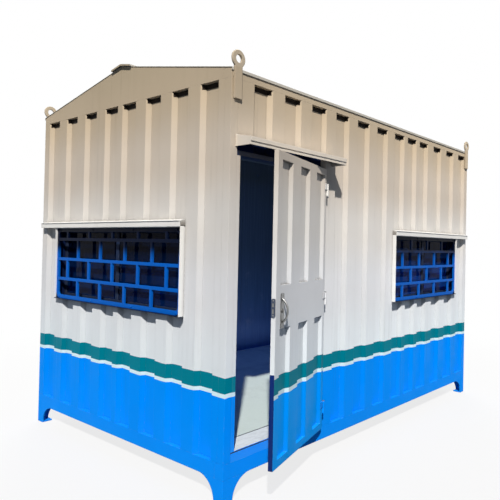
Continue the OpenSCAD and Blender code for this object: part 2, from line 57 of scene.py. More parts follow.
# Doorway and rain hood
SILL_IN, HEAD_Z = 0.170, 2.180
HOOD_FROM, HOOD_TO = 0.044, 1.065
HOOD_TOP, HOOD_WALL_Z, HOOD_LIP = 2.308, 2.306, 0.1335

# Door, with distances along the leaf from its hinge line
AJAR = math.radians(17.5)
LATCH_WAY = Vector((-math.cos(AJAR), -math.sin(AJAR), 0.0))
LEAF_OUT = Vector((math.sin(AJAR), -math.cos(AJAR), 0.0))
LEAF_FROM, LATCH_D, LEAF_T, LEAF_Z, LEAF_TOP = 0.014, 0.881, 0.030, 0.256, 2.193
HINGE_X, HINGE_Y, HINGE_ZS = 0.958, -0.0385, (0.411, 1.2245, 2.038)
KNUCKLE, KNUCKLE_GAP, BARREL = 0.045, 0.0004, 0.024
WALL_STRAP, LEAF_STRAP, STRAP_T = 0.070, 0.052, 0.005
LOCK_T, LOCK_Z = 0.006, 1.236
PLATE_T, ROSE_H, PULL_D, PULL_Z = 0.005, 0.010, 0.789, 1.212

# Windows: heights, ends along the walls, half a surround's sheet, and a grille's distance before the wall
WIN_Z, WIN_TOP = 1.125, 1.727
FRONT_WIN, LEFT_WIN = (2.014, 3.334), (0.428, 2.132)
INNER, GRILLE_FRONT = 0.002, 0.017


def at(x, y, z):
    """A plan position in metres, as the drawing gives it, in the frame that the solids lie in."""
    return ORIGIN + Vector((x, y, z))


def on_leaf(along, out, z):
    """A place on the door by its distance from the hinge line and from the leaf's outer face."""
    return at(HINGE_X, HINGE_Y, z) + LATCH_WAY * along + LEAF_OUT * out


def on_roof(x, y, rise, rear):
    """A place above the roof's lower face, at a distance in from an eave, and the way out of the slope."""
    out = Vector((0.0, -math.sin(SLOPE_ANGLE), math.cos(SLOPE_ANGLE)))
    point = Vector((x, y, EAVE_Z + y * SLOPE)) + out * rise
    if rear:
        point.y, out.y = WIDTH - point.y, -out.y
    return at(*point), out


def spread(start, end, count):
    """Evenly spaced places from start to end, both included."""
    return [start + (end - start) * i / (count - 1) for i in range(count)]


def srgb(r, g, b):
    """A colour given as it looks on screen, 0 to 255, as the linear values that nodes take."""
    out = []
    for v in (r, g, b):
        v = v / 255
        out.append(v / 12.92 if v <= 0.04045 else ((v + 0.055) / 1.055) ** 2.4)
    return (*out, 1.0)


# Materials

WHITE = (1.0, 1.0, 1.0, 1.0)

# Places of the colour sockets on a mix node, and how many rays look for corners and edges
MIX_A, MIX_B, MIX_RESULT = 6, 7, 2
LOOKS = 6

# A noise pattern: spots to a metre, detail, roughness, the stretch of it that counts, and a squeeze by axis
Pattern = namedtuple("Pattern", "spots detail rough low high squeeze", defaults=(0.5, 0.0, 1.0, None))


class Tree:
    """A material's nodes, with short calls for the ones used here."""

    def __init__(self, name):
        self.material = bpy.data.materials.new(name)
        self.material.use_nodes = True
        self.nodes = self.material.node_tree.nodes
        self.links = self.material.node_tree.links
        self.nodes.clear()
        self.out = self.nodes.new("ShaderNodeOutputMaterial")
        self.shader = self.nodes.new("ShaderNodeBsdfPrincipled")
        self.links.new(self.shader.outputs[0], self.out.inputs["Surface"])
        self.place = self.nodes.new("ShaderNodeTexCoord").outputs["Object"]
        self.xyz = self.add("ShaderNodeSeparateXYZ", {0: self.place}).outputs
        self.z = self.xyz["Z"]

    def add(self, kind, inputs=None, **props):
        """A new node with its properties set and its inputs linked or set."""
        n = self.nodes.new(kind)
        for key, value in props.items():
            setattr(n, key, value)
        for key, value in (inputs or {}).items():
            self.put(n.inputs[key], value)
        return n

    def put(self, socket, value):
        """Links a socket to another one, or sets its value."""
        if isinstance(value, bpy.types.NodeSocket):
            self.links.new(value, socket)
        else:
            socket.default_value = value

    def math(self, op, a, b=0.0, clamp=False):
        return self.add("ShaderNodeMath", {0: a, 1: b}, operation=op, use_clamp=clamp).outputs[0]

    def product(self, first, *others):
        """Amounts or masks multiplied together."""
        for other in others:
            first = self.math("MULTIPLY", first, other)
        return first

    def over(self, value, limit):
        return self.math("GREATER_THAN", value, limit)

    def below(self, value, limit):
        return self.math("LESS_THAN", value, limit)

    def within(self, value, low, high):
        return self.product(self.over(value, low), self.below(value, high))

    def plan(self, axis):
        """A plan position along an axis, from the same corner as at() has."""
        return self.math("SUBTRACT", self.xyz[axis], ORIGIN["XYZ".index(axis)])

    def facing(self):
        """The way that the surface faces, as X, Y and Z."""
        normal = self.add("ShaderNodeTexCoord").outputs["Normal"]
        return self.add("ShaderNodeSeparateXYZ", {0: normal}).outputs

    def towards(self, way):
        """How far the surface faces one way: one where it does, nought where it is square to that."""
        normal = self.add("ShaderNodeTexCoord").outputs["Normal"]
        return self.dot(normal, way)

    def dot(self, a, b):
        return self.add("ShaderNodeVectorMath", {0: a, 1: b}, operation="DOT_PRODUCT").outputs["Value"]

    def noise(self, pattern):
        """A pattern's whole noise, around 0.5."""
        place = self.place
        if pattern.squeeze:
            place = self.add("ShaderNodeMapping", {"Vector": place, "Scale": pattern.squeeze}).outputs[0]
        return self.add("ShaderNodeTexNoise", {
            "Vector": place, "Scale": pattern.spots, "Detail": pattern.detail, "Roughness": pattern.rough,
        }).outputs["Fac"]

    def patches(self, pattern, to_low=0.0, to_high=1.0, smooth=True):
        """The stretch of a pattern's noise that counts, mapped onto another stretch."""
        return self.span(self.noise(pattern), pattern.low, pattern.high, to_low, to_high, smooth)

    def span(self, value, low, high, to_low=0.0, to_high=1.0, smooth=True):
        """Maps a value's stretch from low to high onto another stretch."""
        return self.add("ShaderNodeMapRange", {
            "Value": value, "From Min": low, "From Max": high, "To Min": to_low, "To Max": to_high,
        }, interpolation_type="SMOOTHSTEP" if smooth else "LINEAR").outputs["Result"]

    def mix(self, factor, a, b, blend="MIX"):
        n = self.add("ShaderNodeMix", data_type="RGBA", blend_type=blend)
        self.put(n.inputs[0], factor)
        self.put(n.inputs[MIX_A], a)
        self.put(n.inputs[MIX_B], b)
        return n.outputs[MIX_RESULT]

    def toned(self, colour, amount):
        """A colour made darker below an amount of one, and lighter above it."""
        grey = self.add("ShaderNodeCombineColor", {0: amount, 1: amount, 2: amount}).outputs[0]
        return self.mix(1.0, colour, grey, "MULTIPLY")

    def ramp(self, value, low, high, stops, blend):
        """Colours at (place, colour) stops along a value's stretch from low to high."""
        n = self.add("ShaderNodeValToRGB", {0: self.span(value, low, high, smooth=False)})
        n.color_ramp.interpolation = blend
        row = n.color_ramp.elements
        while len(row) < len(stops):
            row.new(1.0)
        for element, (place, colour) in zip(row, stops):
            element.position = (place - low) / (high - low)
            element.color = colour
        return n.outputs["Color"]

    def corner_dirt_shade(self, distance, low, high):
        """How closed in a place is, such as under a rail or in a corner, for dirt and painted shade there.
        """
        ao = self.add("ShaderNodeAmbientOcclusion", {"Distance": distance}, samples=LOOKS)
        return self.span(ao.outputs["AO"], low, high, 1.0, 0.0)

    def edge(self, radius, low, high):
        """A mask along the outer and inner edges, and the rounded normal that it comes from."""
        soft = self.add("ShaderNodeBevel", {"Radius": radius}, samples=LOOKS).outputs[0]
        flat = self.add("ShaderNodeNewGeometry").outputs["Normal"]
        bend = self.math("SUBTRACT", 1.0, self.dot(soft, flat))
        return self.span(bend, low, high), soft

    def bump(self, layers, normal=None):
        """Bump from (height, strength, distance) layers, one after another."""
        for height, strength, distance in layers:
            inputs = {"Height": height, "Strength": strength, "Distance": distance}
            if normal is not None:
                inputs["Normal"] = normal
            normal = self.add("ShaderNodeBump", inputs).outputs[0]
        self.put(self.shader.inputs["Normal"], normal)

    def finish(self, **sockets):
        """Sets the shader's inputs, named with underlines for spaces, and gives the material."""
        for key, value in sockets.items():
            self.put(self.shader.inputs[key.replace("_", " ")], value)
        return self.material


# Cream by height in metres: darker and warmer high under the eaves, paler and cooler towards the ground
CREAM = (
    (0.80, srgb(229, 236, 240)), (1.30, srgb(226, 227, 229)), (1.75, srgb(220, 216, 210)),
    (2.20, srgb(205, 193, 178)), (2.65, srgb(190, 173, 148)), (2.95, srgb(184, 168, 142)),
)
CREAM_FROM, CREAM_TO = 0.75, 3.00
TEAL, LINE, BLUE = srgb(0, 124, 144), srgb(216, 241, 250), srgb(0, 144, 254)

# Heights of the painted bands from the ground, and how far the brush strayed
LINE_Z, TEAL_Z, CREAM_Z = 0.658, 0.684, 0.785
BAND_FROM, BAND_TO = 0.60, 0.85
BANDS = ((BAND_FROM, BLUE), (LINE_Z, LINE), (TEAL_Z, TEAL))
WOBBLE, STROKES = 0.003, Pattern(5.0, 2.0, low=0.3, high=0.7)

# Painted light and shade: cream lighter on the long walls and darker on the ends, by how far a face is
# turned to an end, squared
LONG_LIT_TONE, END_SHADED_TONE, END_FACING = 1.06, 0.92, (0.1, 0.9)

# Long walls are dullest near the door's corner, and palest high up towards their other end
CORNER_TONE, CORNER_REACH = 0.89, 0.6
PALER, PALER_ALONG, PALER_UP = 0.14, (0.5, 3.4), (1.9, 2.5)


def banded(t, lift=0.0):
    """Blue below, a white line, a teal stripe and cream above, with a hand-painted wobble."""
    height = t.math("ADD", t.z, t.patches(STROKES, -WOBBLE - lift, WOBBLE - lift, smooth=False))
    bands = t.ramp(height, BAND_FROM, BAND_TO, BANDS, "CONSTANT")
    cream = t.ramp(height, CREAM_FROM, CREAM_TO, CREAM, "EASE")
    along = t.plan("X")
    paler = t.product(t.span(along, *PALER_ALONG, 0.0, PALER), t.span(t.z, *PALER_UP))
    corner_tone = t.span(along, 0.0, CORNER_REACH, CORNER_TONE, 1.0)
    long_tone = t.product(t.math("ADD", LONG_LIT_TONE, paler), corner_tone)
    # Painted light and shade by facing: the long walls lighter, the ends darker
    endwise = t.facing()["X"]
    tone = t.span(t.product(endwise, endwise), *END_FACING, long_tone, END_SHADED_TONE, smooth=False)
    return t.mix(t.over(height, CREAM_Z), bands, t.toned(cream, tone))


# How much the paint reflects: old brushed enamel, a tenth as much as fresh gloss
PAINT_SHINE = 0.05

# Patterns of the paint's weathering; the grime colour also paints shade in corners
GRIME_AND_SHADE, DUST, RUST, PRIMER = srgb(58, 51, 42), srgb(176, 160, 134), srgb(122, 66, 34), srgb(150, 146, 140)
CLOUDS = Pattern(1.1, 4.0, 0.6, 0.25, 0.75)
RUNS = Pattern(1.0, 5.0, 0.62, 0.52, 0.78, squeeze=(24.0, 24.0, 0.85))
RUN_PATCHES = Pattern(1.7, 3.0, 0.5, 0.38, 0.66)
FOOT_EDGE = Pattern(7.0, 5.0, 0.65, 0.2, 0.8)
SPECKS = Pattern(60.0, 4.0, 0.7, 0.42, 0.68)
CHIPS = Pattern(38.0, 4.0, 0.7, 0.50, 0.64)
RUST_SPOTS = Pattern(9.0, 4.0, 0.7, 0.58, 0.70)
SHEEN = Pattern(3.2, 4.0, 0.6, 0.3, 0.7)
DENTS, GRIT = Pattern(2.6, 2.0), Pattern(260.0, 3.0)

# Tones of the clouds, least dust between specks, rust on chips, change of sheen and how far dirt dulls it
CLOUD_TONES, SPECK_LEAST, RUST_SHARE = (0.93, 1.04), 0.35, 0.6
SHEEN_LESS, SHEEN_MORE, DIRT_DULLS = 0.05, 0.07, 0.3

# The height of dents, and bumps as (strength, height)
DENT_H, GRIT_BUMP, RUN_BUMP = 0.004, (0.12, 0.0006), (0.10, 0.0008)

# Heights between which dust at the foot, and dirt with painted shade in corners, fade, and where that dirt
# and shade and worn edges lie
FOOT_Z, FOOT_DRIFT = (0.14, 0.55), 0.16
DIRT_SHADE_Z, DIRT_SHADE_LEAST = (0.45, 0.75), 0.1
DIRT_SHADE_REACH, DIRT_SHADE_OPEN = 0.07, (0.25, 0.85)
EDGE_R, EDGE_BEND = 0.004, (0.03, 0.20)


def painted(name, base, rough, streak=0.16, dust=0.015, corner_dirt_shade=0.9, wear=0.35, wave=0.5):
    """Weathered paint on sheet metal, by how much it shows of runs, dust, corner dirt with painted shade,
    wear and dents.
    """
    t = Tree(name)
    colour = base(t) if callable(base) else base
    colour = t.toned(colour, t.patches(CLOUDS, *CLOUD_TONES, smooth=False))
    runs = t.product(t.patches(RUNS), t.patches(RUN_PATCHES))
    colour = t.mix(t.product(runs, streak), colour, GRIME_AND_SHADE)
    foot = t.span(t.math("ADD", t.z, t.patches(FOOT_EDGE, -FOOT_DRIFT, FOOT_DRIFT)), *FOOT_Z, 1.0, 0.0)
    foot = t.product(foot, t.patches(SPECKS, SPECK_LEAST, 1.0))
    colour = t.mix(t.product(foot, dust), colour, DUST)
    # Dirt and painted shade where the surface is closed in
    dirt_shade = t.product(t.corner_dirt_shade(DIRT_SHADE_REACH, *DIRT_SHADE_OPEN), t.span(t.z, *DIRT_SHADE_Z, DIRT_SHADE_LEAST, 1.0))
    colour = t.mix(t.product(dirt_shade, corner_dirt_shade), colour, GRIME_AND_SHADE)
    edge, soft = t.edge(EDGE_R, *EDGE_BEND)
    edge = t.product(edge, t.patches(CHIPS))
    colour = t.mix(t.product(edge, wear), colour, PRIMER)
    colour = t.mix(t.product(edge, t.patches(RUST_SPOTS), RUST_SHARE), colour, RUST)
    gloss = t.patches(SHEEN, rough - SHEEN_LESS, rough + SHEEN_MORE)
    gloss = t.math("ADD", gloss, t.product(t.math("MAXIMUM", foot, dirt_shade), DIRT_DULLS), clamp=True)
    t.bump([(t.noise(DENTS), wave, DENT_H), (t.noise(GRIT), *GRIT_BUMP), (runs, *RUN_BUMP)], soft)
    t.shader.inputs["Specular IOR Level"].default_value = PAINT_SHINE
    return t.finish(Base_Color=colour, Roughness=gloss, Specular_Tint=colour)


# How far a face is turned some way: the sides of flutes, flat parts, nearly square on, and at least half
SLANT, FLAT, SQUARE_ON, HALF_ON = (0.3, 0.5), (0.8, 0.95), 0.9, 0.5

# The leaf's bands sit a little higher than the wall's, its flutes' sides carry painted shade against its
# flat parts, and its latch edge's foot is deep blue painted shade
LEAF_LIFT = 0.024
LEAF_WEB_SHADE = (0.86, 0.87, 0.88, 1.0)
LEAF_BLUE, LEAF_WEB_SHADE_BLUE, LATCH_SHADE_BLUE = srgb(0, 160, 255), srgb(0, 136, 232), srgb(20, 44, 106)


def leaf_bands(t):
    """The leaf's bands, a lighter blue below them, and deep blue painted shade on the foot of its latch
    edge.
    """
    out = t.towards(LEAF_OUT)
    # Painted shade on the flutes' sides, in the cream and in the blue
    web = t.product(t.span(out, *SLANT), t.span(out, *FLAT, 1.0, 0.0))
    colour = t.mix(1.0, banded(t, LEAF_LIFT), t.mix(web, WHITE, LEAF_WEB_SHADE), "MULTIPLY")
    blue = t.mix(web, LEAF_BLUE, LEAF_WEB_SHADE_BLUE)
    colour = t.mix(t.below(t.z, LINE_Z + LEAF_LIFT - WOBBLE), colour, blue)
    # Deep blue painted shade on the latch edge below the cream
    shaded_latch_foot = t.product(t.over(t.towards(LATCH_WAY), SQUARE_ON), t.below(t.z, CREAM_Z + 2 * LEAF_LIFT))
    return t.mix(shaded_latch_foot, colour, LATCH_SHADE_BLUE)


# Navy painted shade in openings, under the hood and at the door head; paler cream on surrounds and hood, and
# a painted highlight on the upper hinges
SHADE_NAVY = srgb(12, 28, 62)
SURROUND_FRESH, SURROUND_CREAM = 0.55, srgb(246, 246, 242)
HOOD_FRESH, HOOD_CREAM, HOOD_TURN = 0.3, srgb(246, 240, 228), 0.3
HINGE_HIGHLIGHT, HINGE_HIGHLIGHT_Z, FRESH_AND_HIGHLIGHT_CREAM = 0.75, 1.90, srgb(246, 244, 238)
EYE_FRESH, EYE_FADE = 0.08, 0.02
STRAP_LOW, STRAP_HIGH = RAIL_Z - 0.20, RAIL_Z - 0.15


def reveal_bands(axis, start, end):
    """A paler cream outside, and navy painted shade on a surround's foot and on its inner faces behind the
    grille.
    """
    across = "Y" if axis == "X" else "X"

    def colours(t):
        inside = t.within(t.plan(axis), start + INNER, end - INNER)
        tall = t.within(t.z, WIN_Z + INNER, WIN_TOP - INNER)
        edgeways = t.below(t.math("ABSOLUTE", t.facing()[across]), HALF_ON)
        behind = t.over(t.plan(across), -GRILLE_FRONT)
        in_shade = t.product(inside, tall, edgeways, behind)
        foot = t.product(inside, t.below(t.z, WIN_Z + 3 * INNER))
        fresh = t.mix(SURROUND_FRESH, banded(t), SURROUND_CREAM)
        return t.mix(t.math("MAXIMUM", in_shade, foot), fresh, SHADE_NAVY)

    return colours


def fresh_and_highlight_bands(t):
    """The wall's bands, with a pale painted highlight from the upper hinge to the hood's seam, and a little
    paler cream on eyes.
    """
    low = t.span(t.z, STRAP_LOW, STRAP_HIGH, 1.0, 0.0)
    # Painted highlight from the upper hinge's height, faded out below the eave rail
    share = t.product(t.over(t.z, HINGE_HIGHLIGHT_Z), HINGE_HIGHLIGHT, low)
    share = t.math("MAXIMUM", share, t.span(t.z, EAVE_Z, EAVE_Z + EYE_FADE, 0.0, EYE_FRESH))
    return t.mix(share, banded(t), FRESH_AND_HIGHLIGHT_CREAM)


def hood_bands(t):
    """A paler cream, and navy painted shade on the hood's underside and its back."""
    facing = t.facing()
    shaded_faces = t.math("MAXIMUM", t.below(facing["Z"], -HOOD_TURN), t.over(facing["Y"], HOOD_TURN))
    behind = t.over(t.plan("Y"), -HOOD_LIP)
    cream = t.mix(HOOD_FRESH, banded(t), HOOD_CREAM)
    return t.mix(t.product(shaded_faces, behind), cream, SHADE_NAVY)


# Grille blue, and a darker blue painted as the rain strip's shadow, with the depths below the top where it
# changes
GRILLE_BLUE, GRILLE_SHADOW_BLUE = srgb(6, 94, 190), srgb(3, 14, 38)
GRILLE_SHADOW_TO, GRILLE_SHADOW_FULL, GRILLE_SHADOW_DRIFT = 0.24, 0.13, 0.012
GRILLE_SHADOW_EDGE = Pattern(6.0, 3.0, low=0.3, high=0.7)


def shadowed_grille_blue(t):
    """Grille blue, with the rain strip's shadow painted on as deep blue across its upper part."""
    height = t.math("ADD", t.z, t.patches(GRILLE_SHADOW_EDGE, -GRILLE_SHADOW_DRIFT, GRILLE_SHADOW_DRIFT))
    return t.mix(t.span(height, WIN_TOP - GRILLE_SHADOW_TO, WIN_TOP - GRILLE_SHADOW_FULL), GRILLE_BLUE, GRILLE_SHADOW_BLUE)


# A black painted shadow in the flutes' upper ends, and painted shade and light on the flutes' sides between
# two heights
FLUTE_SHADOW, FLUTE_SHADOW_H, FLUTE_SHADOW_FADE, FLUTE_SHADOW_DEPTH = srgb(42, 35, 31), 0.031, 0.006, 0.008
WEB_Z, WEB_SHADE_TONES = (1.2, 2.6), (0.80, 1.08)


def shadowed_bands(t):
    """The wall's bands, a black painted shadow in flute tops under the eaves, painted shade low on flute
    sides.
    """
    x, y = t.plan("X"), t.plan("Y")
    near = t.math("MINIMUM", x, y)
    far = t.math("MINIMUM", t.math("SUBTRACT", LENGTH, x), t.math("SUBTRACT", WIDTH, y))
    # A black painted shadow in the recessed flutes just under the eave rail
    recessed = t.over(t.math("MINIMUM", near, far), FLUTE_SHADOW_DEPTH)
    flute_shadow = t.product(recessed, t.span(t.z, RAIL_Z - FLUTE_SHADOW_H - FLUTE_SHADOW_FADE, RAIL_Z - FLUTE_SHADOW_H))
    # Painted shade low on the flutes' sides, painted light high up
    facing = t.facing()
    slant = t.math("MINIMUM", t.math("ABSOLUTE", facing["X"]), t.math("ABSOLUTE", facing["Y"]))
    web_shade = t.toned(WHITE, t.span(t.z, *WEB_Z, *WEB_SHADE_TONES, smooth=False))
    shade = t.mix(t.span(slant, *SLANT), WHITE, web_shade)
    return t.mix(flute_shadow, t.mix(1.0, banded(t), shade, "MULTIPLY"), FLUTE_SHADOW)


def lintel_bands(t):
    """The wall's bands above the hood, navy painted shade below it."""
    return t.mix(t.below(t.z, HOOD_WALL_Z), shadowed_bands(t), SHADE_NAVY)


# The door frame: how high its sill may lie, the painted shadow line under the sill's lip, and its head,
# painted dark as shade
SILL_MAX_Z, LIP_SHADOW, HEAD_SEAT = 0.4, 0.008, 0.001
SILL_PALE, SILL_TRODDEN, SILL_TREAD_SHARE = srgb(222, 230, 232), srgb(160, 166, 168), 0.30
SILL_TREAD = Pattern(14.0, 5.0, 0.7, 0.40, 0.66, squeeze=(1.0, 3.0, 1.0))
SILL_GRIT = Pattern(240.0, 3.0)
SILL_SHEEN, SILL_ROUGH = Pattern(6.0, 4.0, low=0.3, high=0.7), (0.36, 0.52)
# Dirt with painted shade in the sill's corners
SILL_DIRT_SHADE_REACH, SILL_DIRT_SHADE_OPEN, SILL_DIRT_SHADE_SHARE = 0.05, (0.3, 0.9), 0.4
SILL_EDGE_R, SILL_WEAR = 0.003, 0.25


def sill_paint():
    """The door frame: banded as the wall, with a pale trodden sill, a painted shadow line under its lip and
    a head in navy painted shade.
    """
    t = Tree("frame_paint")
    sill = t.product(t.over(t.facing()["Z"], HALF_ON), t.below(t.z, SILL_MAX_Z))
    pale = t.mix(t.product(t.patches(SILL_TREAD), SILL_TREAD_SHARE), SILL_PALE, SILL_TRODDEN)
    colour = t.mix(sill, banded(t), pale)
    # A painted shadow under the sill's lip, and navy painted shade on the head
    colour = t.mix(t.within(t.z, FLOOR_Z - LIP_SHADOW, FLOOR_Z), colour, SHADE_NAVY)
    colour = t.mix(t.over(t.z, HEAD_Z - HEAD_SEAT), colour, SHADE_NAVY)
    dirt_shade = t.corner_dirt_shade(SILL_DIRT_SHADE_REACH, *SILL_DIRT_SHADE_OPEN)
    colour = t.mix(t.product(dirt_shade, SILL_DIRT_SHADE_SHARE), colour, GRIME_AND_SHADE)
    edge, soft = t.edge(SILL_EDGE_R, *EDGE_BEND)
    colour = t.mix(t.product(edge, SILL_WEAR), colour, PRIMER)
    t.bump([(t.noise(SILL_GRIT), *GRIT_BUMP)], soft)
    return t.finish(Base_Color=colour, Roughness=t.patches(SILL_SHEEN, *SILL_ROUGH))


# Board colour by height, painted light and shade: lighter and bluer near the floor, greyer towards the
# ceiling
BOARD = (
    (0.31, srgb(76, 118, 180)), (0.43, srgb(60, 94, 153)), (0.69, srgb(34, 63, 112)),
    (0.95, srgb(33, 61, 101)), (1.59, srgb(45, 64, 84)), (2.23, srgb(57, 72, 80)), (2.58, srgb(64, 80, 100)),
)
BOARD_FROM, BOARD_TO = 0.30, 2.60
GRAIN = Pattern(1.0, 6.0, 0.65, 0.3, 0.7, squeeze=(55.0, 55.0, 1.6))
GRAIN_TONES, GRAIN_ROUGH, GRAIN_BUMP = (1.12, 0.88), (0.50, 0.66), (0.2, 0.001)
BOARD_SCUFFS = Pattern(5.0, 5.0, 0.7, 0.58, 0.74)
BOARD_SCUFF, BOARD_SCUFF_SHARE = srgb(92, 104, 132), 0.25


def boarding():
    """Lining boards in a dark blue that paints the room's shade, with a faint upright grain."""
    t = Tree("lining_board")
    colour = t.ramp(t.z, BOARD_FROM, BOARD_TO, BOARD, "LINEAR")
    colour = t.toned(colour, t.patches(GRAIN, *GRAIN_TONES))
    colour = t.mix(t.product(t.patches(BOARD_SCUFFS), BOARD_SCUFF_SHARE), colour, BOARD_SCUFF)
    t.bump([(t.noise(GRAIN), *GRAIN_BUMP)])
    return t.finish(Base_Color=colour, Roughness=t.patches(GRAIN, *GRAIN_ROUGH))


# Flooring: its speckle, dust where it is trodden, scuffs, and a dark seam behind the sill
VINYL_LIGHT, VINYL_DARK = srgb(218, 231, 224), srgb(202, 217, 210)
VINYL_SPECKLE = Pattern(420.0, 2.0, 0.5, 0.35, 0.65)
VINYL_TREAD = Pattern(3.0, 5.0, 0.65, 0.45, 0.72)
VINYL_DUST, VINYL_TREAD_SHARE = srgb(160, 166, 160), 0.30
VINYL_SCUFFS = Pattern(1.0, 4.0, 0.7, 0.66, 0.74, squeeze=(3.0, 28.0, 3.0))
VINYL_SCUFF, VINYL_SCUFF_SHARE = srgb(90, 88, 84), 0.25
VINYL_GRIT = Pattern(300.0, 2.0)
VINYL_BUMP, VINYL_ROUGH = (0.1, 0.0005), (0.34, 0.58)
SEAM_W, SEAM_DARK = 0.018, srgb(30, 42, 54)


def vinyl():
    """Pale sheet flooring: fine speckle, trodden dust, a few scuffs and a seam."""
    t = Tree("floor_vinyl")
    colour = t.mix(t.patches(VINYL_SPECKLE), VINYL_LIGHT, VINYL_DARK)
    tread = t.patches(VINYL_TREAD)
    colour = t.mix(t.product(tread, VINYL_TREAD_SHARE), colour, VINYL_DUST)
    colour = t.mix(t.product(t.patches(VINYL_SCUFFS), VINYL_SCUFF_SHARE), colour, VINYL_SCUFF)
    colour = t.mix(t.within(t.plan("Y"), SILL_IN, SILL_IN + SEAM_W), colour, SEAM_DARK)
    t.bump([(t.noise(VINYL_GRIT), *VINYL_BUMP)])
    return t.finish(Base_Color=colour, Roughness=t.span(tread, 0.0, 1.0, *VINYL_ROUGH))


# Bare metal: brush marks and tarnish, with the share of its colour that each leaves, and dirt with painted
# shade in corners
BRUSHING = Pattern(1.0, 4.0, 0.6, 0.3, 0.7, squeeze=(900.0, 900.0, 12.0))
TARNISH = Pattern(22.0, 4.0, 0.65, 0.42, 0.70)
BRUSHING_LEAVES, TARNISH_LEAVES = 0.82, 0.55
BRUSHING_LESS, BRUSHING_MORE, BRUSHING_BUMP = 0.05, 0.08, (0.08, 0.0004)
TARNISH_SHARE, TARNISH_DULLS = 0.35, 0.14
METAL_DIRT_SHADE, METAL_DIRT_SHADE_SHARE = srgb(60, 54, 46), 0.5
METAL_DIRT_SHADE_REACH, METAL_DIRT_SHADE_OPEN = 0.02, (0.3, 0.9)


def dimmed(colour, share):
    """A share of a colour."""
    r, g, b, alpha = colour
    return (r * share, g * share, b * share, alpha)


def brushed(name, tint, rough):
    """Bare metal with fine upright brush marks, dulled in patches."""
    t = Tree(name)
    colour = t.mix(t.patches(BRUSHING), tint, dimmed(tint, BRUSHING_LEAVES))
    tarnish = t.patches(TARNISH)
    colour = t.mix(t.product(tarnish, TARNISH_SHARE), colour, dimmed(tint, TARNISH_LEAVES))
    # Dirt with painted shade in corners
    dirt_shade = t.corner_dirt_shade(METAL_DIRT_SHADE_REACH, *METAL_DIRT_SHADE_OPEN)
    colour = t.mix(t.product(dirt_shade, METAL_DIRT_SHADE_SHARE), colour, METAL_DIRT_SHADE)
    gloss = t.patches(BRUSHING, rough - BRUSHING_LESS, rough + BRUSHING_MORE)
    gloss = t.math("ADD", gloss, t.product(tarnish, TARNISH_DULLS))
    t.bump([(t.noise(BRUSHING), *BRUSHING_BUMP)])
    t.shader.inputs["Metallic"].default_value = 1.0
    return t.finish(Base_Color=colour, Roughness=gloss)


# Panes: dust on them, and a film painted darker towards the window's top as shade, changing between two
# depths below the top
PANE_DUST, PANE_ROUGH = Pattern(9.0, 5.0, 0.7, 0.40, 0.80), (0.02, 0.10)
FILM_SHADE_TO, FILM_SHADE_FULL, FILM_IOR = 0.36, 0.14, 1.08
FILM_CLOUDS, FILM_TONES = Pattern(4.0, 4.0, 0.5, 0.35, 0.65), (1.1, 0.9)


def glazing(name, clear, low, high):
    """Window glass behind a blue film that is painted darker under the rain strip as shade, with some dust
    on it.
    """
    t = Tree(name)
    film = t.mix(t.span(t.z, WIN_TOP - FILM_SHADE_TO, WIN_TOP - FILM_SHADE_FULL), low, high)
    film = t.toned(film, t.patches(FILM_CLOUDS, *FILM_TONES))
    t.shader.inputs["IOR"].default_value = FILM_IOR
    t.shader.inputs["Transmission Weight"].default_value = clear
    return t.finish(Base_Color=film, Roughness=t.patches(PANE_DUST, *PANE_ROUGH))


PAINT_ROUGH = 0.42
wall_paint = painted("wall_paint", shadowed_bands, PAINT_ROUGH)
trim_paint = painted("trim_paint", banded, PAINT_ROUGH, corner_dirt_shade=0.3)
fresh_and_highlight_paint = painted("fresh_and_highlight_paint", fresh_and_highlight_bands, PAINT_ROUGH, corner_dirt_shade=0.3)
hood_paint = painted("hood_paint", hood_bands, PAINT_ROUGH, corner_dirt_shade=0.0)
lintel_paint = painted("lintel_paint", lintel_bands, PAINT_ROUGH)
leaf_paint = painted("leaf_paint", leaf_bands, rough=0.40, corner_dirt_shade=0.85)
front_trim = painted("front_surround_paint", reveal_bands("X", *FRONT_WIN), PAINT_ROUGH, corner_dirt_shade=0.1)
left_trim = painted("left_surround_paint", reveal_bands("Y", *LEFT_WIN), PAINT_ROUGH, corner_dirt_shade=0.1)
roof_paint = painted("roof_paint", srgb(196, 190, 178), rough=0.48, streak=0.3, dust=0.0, corner_dirt_shade=0.3)
blue_paint = painted("blue_paint", BLUE, rough=0.36, streak=0.04, wear=0.4)
grille_paint = painted(
    "grille_paint", shadowed_grille_blue, rough=0.34, streak=0.03, dust=0.0, corner_dirt_shade=0.05, wear=0.08, wave=0.1
)
sash_metal = painted(
    "sash_metal", srgb(30, 44, 70), rough=0.40, streak=0.05, dust=0.0, corner_dirt_shade=0.3, wear=0.5, wave=0.1
)
frame_paint = sill_paint()
lining_board = boarding()
floor_vinyl = vinyl()
lock_steel = brushed("lock_steel", srgb(86, 94, 112), rough=0.36)
steel = brushed("handle_steel", srgb(142, 143, 143), rough=0.34)
# Pane films: the lower colour, and a darker one above painted as the rain strip's shade
front_glass = glazing("front_glass", clear=0.74, low=srgb(30, 86, 176), high=srgb(16, 42, 86))
left_glass = glazing("left_glass", clear=0.84, low=srgb(20, 64, 128), high=srgb(10, 30, 64))

